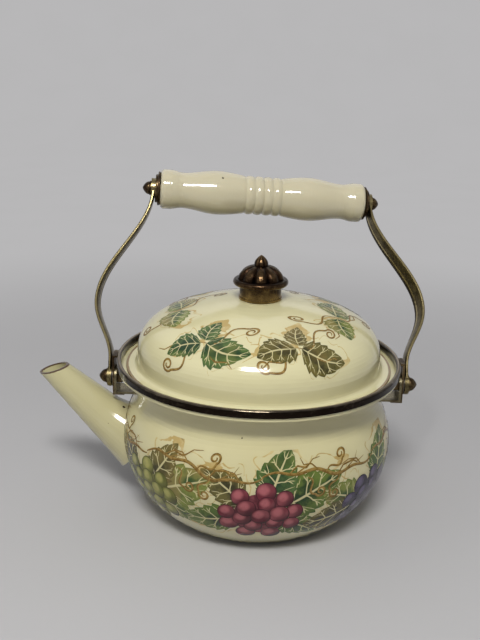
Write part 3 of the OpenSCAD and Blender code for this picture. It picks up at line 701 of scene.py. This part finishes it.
def leaf_shape(length, width, turn, bend, teeth=6, ragged=0.0):
    """A broad oval leaf with a drawn-out tip and a toothed edge, turned by an angle."""
    def shape(t, v):
        # half the width, broadest nearer the stalk
        half = 0.5 * width * np.maximum(np.sin(np.pi * np.clip(t, 0, 1) ** 0.72), 0) ** 0.80
        # saw teeth that differ from side to side, none at the stalk, and a ragged edge where asked for
        phase = teeth * t + np.where(v > 0, 0.0, 0.45)
        tooth = (phase % 1.0) * 0.20 - 0.10 + ragged * np.sin(17 * t + 3 * turn + v) * 0.10
        half = half * (1 + tooth * np.abs(v) * np.minimum(1, 6 * t))
        # sides swept back a little, and the whole leaf bent
        x = length * (t - 0.05 * v * v * np.sin(np.pi * t))
        y = v * half + length * bend * np.sin(np.pi * t) * (1 if turn >= 0 else -1)
        return turned(x, y, turn)
    return shape


def disc_shape(radius, u0, v0):
    """A square grid rounded into a disc."""
    def shape(t, v):
        x, y = 2 * t - 1, v
        return u0 + radius * x * np.sqrt(1 - y * y / 2), v0 + radius * y * np.sqrt(1 - x * x / 2)
    return shape


def ribbon_shape(path, width, taper=0.0):
    """A brush stroke along a path, thin at both ends, and narrowing along its length by taper."""
    def shape(t, v):
        x, y = path(t)
        next_x, next_y = path(t + 0.004)
        dx, dy = next_x - x, next_y - y
        size = np.maximum(np.hypot(dx, dy), 1e-9)
        arch = np.maximum(np.sin(np.pi * np.clip(t, 0, 1)), 0) ** 0.5
        half = 0.5 * width * (0.30 + 0.70 * arch) * (1 - taper * t)
        return x - dy / size * v * half, y + dx / size * v * half
    return shape


def twig_path(steps, x0=0.0, y0=0.0):
    """An angular twig from a start, given as a step along and a step up each time."""
    corner = np.cumsum([(x0, y0)] + list(steps), axis=0)
    at = np.concatenate([[0], np.cumsum(np.hypot(*np.diff(corner, axis=0).T))])
    return lambda t: (np.interp(t * at[-1], at, corner[:, 0]), np.interp(t * at[-1], at, corner[:, 1]))


def curl_path(length, turns, size, turn):
    """A short wavy stem that winds up into a curl over the second part of the stroke."""
    stem = 0.45
    def path(t):
        out = np.minimum(t, stem) / stem
        wound = np.maximum(t - stem, 0) / (1 - stem)
        a = -np.pi / 2 + 2 * np.pi * turns * wound
        r = size * (1 - 0.75 * wound)
        x = length * out + np.where(wound > 0, r * np.cos(a), 0)
        y = 0.16 * length * np.sin(2 * np.pi * out) + np.where(wound > 0, r * np.sin(a) + size, 0)
        return turned(x, y, turn)
    return path


def branch_path(pitch, up, swing, phase):
    """A branch that swings once on its way to the next cluster, with a small ripple of its own phase."""
    def path(t):
        return pitch * t, up + swing * np.sin(2 * np.pi * t) + 1.5 * np.sin(6 * np.pi * t + phase)
    return path


# ------------------------------------------------------------------ garland
# Height of the clusters' middle, how far above it the branch runs, and how far below the berries hang
GARLAND_Z, BRANCH_UP, BERRIES_DOWN = 36.0, 27.5, 2.0
# Each leaf of a cluster: its direction in degrees, its size, and how far from the middle it starts
CLUSTER_LEAVES = [(-30, 0.66, 14), (150, 0.66, 14), (16, 0.88, 16), (190, 0.80, 15), (66, 0.72, 14)]
LEAF_KINDS = ["deep", "mid", "olive", "mid", "deep", "olive", "deep", "mid", "sea"]
BERRY_KINDS = ["wine", "blue", "rose", "green", "wine", "blue", "green"]
# Each twig: where along the branch it starts, its steps along and up, and its width
TWIGS = [(0.20, [(6, 5), (7, -2), (5, 6), (6, 1)], 1.5), (0.42, [(-5, 5), (-6, 0), (-3, 5)], 1.2),
         (0.60, [(4, 6), (8, 1), (4, -3), (7, 3)], 1.5), (0.84, [(-4, 5), (-7, 2), (-6, -2)], 1.2),
         (0.24, [(10, 7), (3, 4)], 1.0), (0.66, [(10, 6), (2, 5)], 1.0)]
# Each curled tendril: where along the branch it starts, how high, and its turn in radians
CURLS = [(0.34, 26, -1.1), (0.60, 26, -2.0), (0.50, 27, 0.5)]


def berry_heap(berry):
    """Distance and direction of each berry of a heap: nine outside, six within them, one in the middle."""
    outer = [(3.15 * berry, 40 * m + 8) for m in reversed(range(9))]
    inner = [(1.72 * berry, 60 * m + 15) for m in reversed(range(6))]
    return outer + inner + [(0.0, 0.0)]


def paint_cluster_leaves(painting, s, middle, k, drop):
    """The leaves that reach out from behind a cluster's berries."""
    chance = painting.chance
    for j, (angle, size, start) in enumerate(CLUSTER_LEAVES):
        turn = math.radians(angle + chance.uniform(-9, 9))
        size = size * chance.uniform(0.94, 1.08)
        width = s.leaf_width / MM * size * chance.uniform(0.90, 1.08)
        leaf = (s.leaf_length / MM * size, width, turn, chance.uniform(-0.10, 0.12))
        place = (start * math.cos(turn), start * math.sin(turn) * 0.8 + drop)
        painting.leaf(j, middle, leaf, place, LEAF_KINDS[(2 * j + 5 * k) % len(LEAF_KINDS)])


def paint_berries(painting, s, middle, k, drop):
    """A heap of berries of one kind over a dark ground, the outer ones laid first."""
    chance = painting.chance
    berry = s.berry / MM
    kind = BERRY_KINDS[k % len(BERRY_KINDS)]
    heap_v = drop - BERRIES_DOWN
    painting.lay("under", 0, middle, disc_shape(2.75 * berry, 0.0, heap_v), paint(kind + "_under"))
    for m, (reach, angle) in enumerate(berry_heap(berry)):
        a = math.radians(angle + chance.uniform(-7, 7))
        radius = berry * chance.uniform(0.92, 1.08)
        place = (reach * math.cos(a) * 1.10, heap_v + reach * math.sin(a) * 0.92)
        painting.lay("berry", m, middle, disc_shape(radius, *place), paint(kind))


def paint_branch(painting, s, middle, k):
    """The branch that joins two clusters, with its angular twigs and curled tendrils."""
    chance = painting.chance
    pitch = 2 * math.pi * BELLY_R / s.repeats
    branch = branch_path(pitch, BRANCH_UP, swing=chance.uniform(2.5, 5.0), phase=k)
    painting.lay("branch", 0, middle, ribbon_shape(branch, 2.1), paint("stem"))
    for m, (at, steps, width) in enumerate(TWIGS):
        stretch = chance.uniform(0.8, 1.2)
        steps = [(x * stretch, y * chance.uniform(0.70, 0.95)) for x, y in steps]
        twig = ribbon_shape(twig_path(steps, *branch(at)), width, taper=0.6)
        painting.lay("twig", m, middle, twig, paint("stem"))
    for m, (at, up, turn) in enumerate(CURLS):
        curl = ribbon_shape(curl_path(13, 1.3, 3.6, turn), 1.5)
        painting.lay("curl", m, middle, moved(curl, (pitch * at, up)), paint("stem"))


class KETTLE_OT_garland(bpy.types.Operator):
    """Paints a plain garland of oval leaves and round berry clusters round the belly"""
    bl_idname = "kettle.garland"
    bl_label = "Belly garland"

    def execute(self, context):
        s = context.scene.kettle_garland
        surface = belly_surface()
        painting = Painting(surface, seed=11, slip=(2.8, 2.2), twist=0.10)
        for k in range(s.repeats):
            middle = (2 * math.pi * (k + 0.04) / s.repeats, surface.at_height(GARLAND_Z))
            drop = 3.0 * math.cos(2.2 * k)
            paint_cluster_leaves(painting, s, middle, k, drop)
            paint_berries(painting, s, middle, k, drop)
            paint_branch(painting, s, middle, k)
        painting.join_layers({"wash": "garland_wash", "leaves": "garland_leaves",
                              "berries": "garland_berries", "stems": "garland_stems"}, "kettle")
        return {"FINISHED"}


# ------------------------------------------------------------------ lid sprigs
# Each leaf of a sprig: its turn in radians and its size. Every other sprig has only the first two.
SPRIG_LEAVES = [(0.30, 1.0), (math.pi - 0.45, 0.9), (-1.45, 0.66)]
SPRIG_KINDS = ["olive", "mid", "sea", "olive", "deep", "mid", "sea"]


def paint_sprig(painting, s, middle, k, lean):
    """The leaves of one sprig, which start close together."""
    length, width = 0.62 * s.leaf_length / MM, 0.64 * s.leaf_width / MM
    for j, (turn, size) in enumerate(SPRIG_LEAVES[:3 - k % 2]):
        turn, size = turn + lean, size * painting.chance.uniform(0.92, 1.10)
        place = (2.0 * math.cos(turn), 2.0 * math.sin(turn))
        leaf = (length * size, width * size, turn, 0.10)
        painting.leaf(j, middle, leaf, place, SPRIG_KINDS[k % len(SPRIG_KINDS)])


def paint_sprig_stems(painting, middle, k, lean):
    """Two tendrils that start at the sprig's middle, and a twig beyond its leaves on either side."""
    for m, turn in enumerate((1.0, -2.5) if k % 2 else (2.3, -0.6)):
        curl = ribbon_shape(curl_path(27, 1.5, 4.4, turn + lean), 1.5)
        painting.lay("lid_curl", m, middle, curl, paint("stem"))
    theta, out = middle
    for side, down, count in ((-1, 7, 4), (1, 9, 3)):
        steps = [(side * 5, 3), (side * 7, -1), (side * 4, 4), (side * 6, 1)][:count]
        twig = ribbon_shape(twig_path(steps), 1.3, taper=0.5)
        painting.lay("lid_twig", 0, (theta + side * 0.12, out + down), twig, paint("stem"))


class KETTLE_OT_lid_sprigs(bpy.types.Operator):
    """Paints plain leaf sprigs with curled stems round the lid"""
    bl_idname = "kettle.lid_sprigs"
    bl_label = "Lid sprigs"

    def execute(self, context):
        s = context.scene.kettle_garland
        surface = dome_surface()
        painting = Painting(surface, seed=5, slip=(2.1, -2.4), twist=0.0)
        for k in range(s.sprigs):
            out = surface.distance[-1] * (0.50 if k % 2 else 0.66)
            middle = (2 * math.pi * (k + 0.40) / s.sprigs, out)
            lean = painting.chance.uniform(-0.35, 0.35)
            paint_sprig(painting, s, middle, k, lean)
            paint_sprig_stems(painting, middle, k, lean)
        painting.join_layers({"wash": "lid_wash", "leaves": "lid_leaves", "stems": "lid_stems"}, "lid")
        return {"FINISHED"}


# ------------------------------------------------------------------ stage
# The paper sweep, in metres: the floor's side, the wall's height, and the radius between them
FLOOR_SIZE, WALL_HEIGHT, SWEEP_R = 6.0, 4.0, 1.2
# How much lighter the paper's grain makes it on average
GRAIN_LIGHT = 0.002
# The camera looks down on the kettle from in front: its place in metres, and its turn in degrees
CAMERA_PLACE = (-0.00613, -0.50892, 0.29294)
CAMERA_TURN = (72.3883, -1.33168, 1.19789)


def soft_lamp(name, place, aim, size, power, tint=(1, 1, 1)):
    light = bpy.data.lights.new(name, "AREA")
    light.shape = "RECTANGLE"
    light.size, light.size_y = size
    light.energy = power
    light.color = tint
    lamp = bpy.data.objects.new(name, light)
    bpy.context.scene.collection.objects.link(lamp)
    lamp.location = place
    lamp.rotation_euler = (Vector(aim) - Vector(place)).to_track_quat("-Z", "Y").to_euler()


def paper_sweep():
    """A floor whose back edge is drawn up into a wall, with a wide round corner between them."""
    bpy.ops.object.select_all(action="DESELECT")
    bpy.ops.mesh.primitive_plane_add(size=FLOOR_SIZE, location=(0, 0, 0))
    floor = bpy.context.object
    floor.name = "floor_sweep"
    mesh = floor.data
    bpy.ops.object.mode_set(mode="EDIT")
    bpy.ops.mesh.select_all(action="DESELECT")
    bpy.ops.object.mode_set(mode="OBJECT")
    for edge in mesh.edges:
        edge.select = all(mesh.vertices[i].co.y > 0.48 * FLOOR_SIZE for i in edge.vertices)
    bpy.ops.object.mode_set(mode="EDIT")
    bpy.ops.mesh.select_mode(type="EDGE")
    bpy.ops.mesh.extrude_region_move(TRANSFORM_OT_translate={"value": (0, 0, WALL_HEIGHT)})
    bpy.ops.object.mode_set(mode="OBJECT")
    bevel = floor.modifiers.new("Sweep", "BEVEL")
    bevel.width, bevel.segments, bevel.limit_method = SWEEP_R, 16, "ANGLE"
    bpy.ops.object.modifier_apply(modifier=bevel.name)
    bpy.ops.object.shade_smooth()
    return floor


def paper_material(color):
    """Faintly grained paper. Far from the object it shows its plain colour, and near it keeps the shadow."""
    material, n, shader = new_material("floor_paper")
    grain = n.mul(n.ramp(n.noise(7.0), 0.3, 0.7), 0.12)
    paper = n.mix(grain, color, (0.52, 0.515, 0.525))
    n.put(paper, shader["Base Color"])
    shader["Roughness"].default_value = 0.85
    path = n.node("ShaderNodeLightPath", {}).outputs
    seen = n.max(path["Is Camera Ray"], n.max(path["Is Glossy Ray"], path["Is Transmission Ray"]))
    far = n.ramp(n.distance((0, 0, 0)), 0.20, 0.85)
    nodes = material.node_tree.nodes
    glow = n.node("ShaderNodeEmission", {"Color": paper, "Strength": 1.0})
    blend = n.node("ShaderNodeMixShader",
        {0: n.mul(seen, far), 1: nodes["Principled BSDF"].outputs[0], 2: glow.outputs[0]})
    n.put(blend.outputs[0], nodes["Material Output"].inputs[0])
    return material


def studio_world(color):
    """A room, dark below and light above, that lights the object. Seen directly it has the backdrop's
    colour, and in a mirror it shows some of that too."""
    world = bpy.data.worlds.new("studio")
    world.use_nodes = True
    n = Nodes(world.node_tree)
    height = n.xyz(n.coords("Generated"))[2]
    room = n.mix(n.ramp(height, -0.1, 0.9), (0.055, 0.055, 0.057), (0.36, 0.36, 0.37))
    path = n.node("ShaderNodeLightPath", {}).outputs
    mirrored = n.mul(path["Is Glossy Ray"], 0.4)
    seen = n.max(path["Is Camera Ray"], n.max(path["Is Transmission Ray"], mirrored))
    background = world.node_tree.nodes["Background"].inputs
    n.put(n.mix(seen, room, color), background["Color"])
    background["Strength"].default_value = 1.0
    return world


def kettle_camera():
    """A 45 mm lens over a 36 mm frame."""
    data = bpy.data.cameras.new("camera")
    data.lens, data.sensor_width, data.clip_start = 45, 36, 0.01
    camera = bpy.data.objects.new("camera", data)
    bpy.context.scene.collection.objects.link(camera)
    camera.location = CAMERA_PLACE
    camera.rotation_euler = tuple(map(math.radians, CAMERA_TURN))
    return camera


class KETTLE_OT_stage(bpy.types.Operator):
    """Sets the floor, backdrop, lamps and camera"""
    bl_idname = "kettle.stage"
    bl_label = "Stage"

    def execute(self, context):
        s = context.scene.kettle_stage
        floor = paper_sweep()
        floor.data.materials.append(paper_material(tuple(s.floor)))
        soft_lamp("key", place=(-0.06, -0.87, 1.12), aim=(0, 0, 0.09), size=(0.44, 0.20),
            power=s.key_power, tint=(1.0, 0.992, 0.972))
        soft_lamp("fill_left", place=(-1.5, -0.8, 0.9), aim=(0, 0, 0.08), size=(1.8, 1.6), power=3.6)
        soft_lamp("fill_right", place=(1.5, 0.3, 0.9), aim=(0, 0, 0.1), size=(1.8, 1.6),
            power=1.0, tint=(0.96, 0.98, 1.0))
        soft_lamp("fill_back", place=(-0.5, 1.5, 1.8), aim=(0, 0, 0.1), size=(3.2, 2.2), power=6.5)
        context.scene.world = studio_world(tuple(c + GRAIN_LIGHT for c in s.floor))
        context.scene.camera = kettle_camera()
        context.scene.view_settings.view_transform = "Standard"
        return {"FINISHED"}


# ------------------------------------------------------------------ add-on
GROUPS = {"kettle_enamel": KETTLE_PG_enamel, "kettle_garland": KETTLE_PG_garland,
          "kettle_metal": KETTLE_PG_metal, "kettle_stage": KETTLE_PG_stage}
OPERATORS = [KETTLE_OT_stage, KETTLE_OT_enamel, KETTLE_OT_metals, KETTLE_OT_grip, KETTLE_OT_garland,
             KETTLE_OT_lid_sprigs]


class KETTLE_PT_panel(bpy.types.Panel):
    """Lists the kettle's settings and steps"""
    bl_idname = "KETTLE_PT_panel"
    bl_label = "Kettle"
    bl_space_type = "VIEW_3D"
    bl_region_type = "UI"
    bl_category = "Kettle"

    def draw(self, context):
        for name in GROUPS:
            settings = getattr(context.scene, name)
            for key in settings.__annotations__:
                self.layout.prop(settings, key)
        for step in OPERATORS:
            self.layout.operator(step.bl_idname)


def register():
    for name, group in GROUPS.items():
        bpy.utils.register_class(group)
        setattr(bpy.types.Scene, name, bpy.props.PointerProperty(type=group))
    for step in OPERATORS:
        bpy.utils.register_class(step)
    bpy.utils.register_class(KETTLE_PT_panel)


def unregister():
    bpy.utils.unregister_class(KETTLE_PT_panel)
    for step in reversed(OPERATORS):
        bpy.utils.unregister_class(step)
    for name, group in reversed(GROUPS.items()):
        delattr(bpy.types.Scene, name)
        bpy.utils.unregister_class(group)


def main():
    register()
    for step in OPERATORS:
        family, name = step.bl_idname.split(".")
        getattr(getattr(bpy.ops, family), name)()


if __name__ == "__main__":
    main()
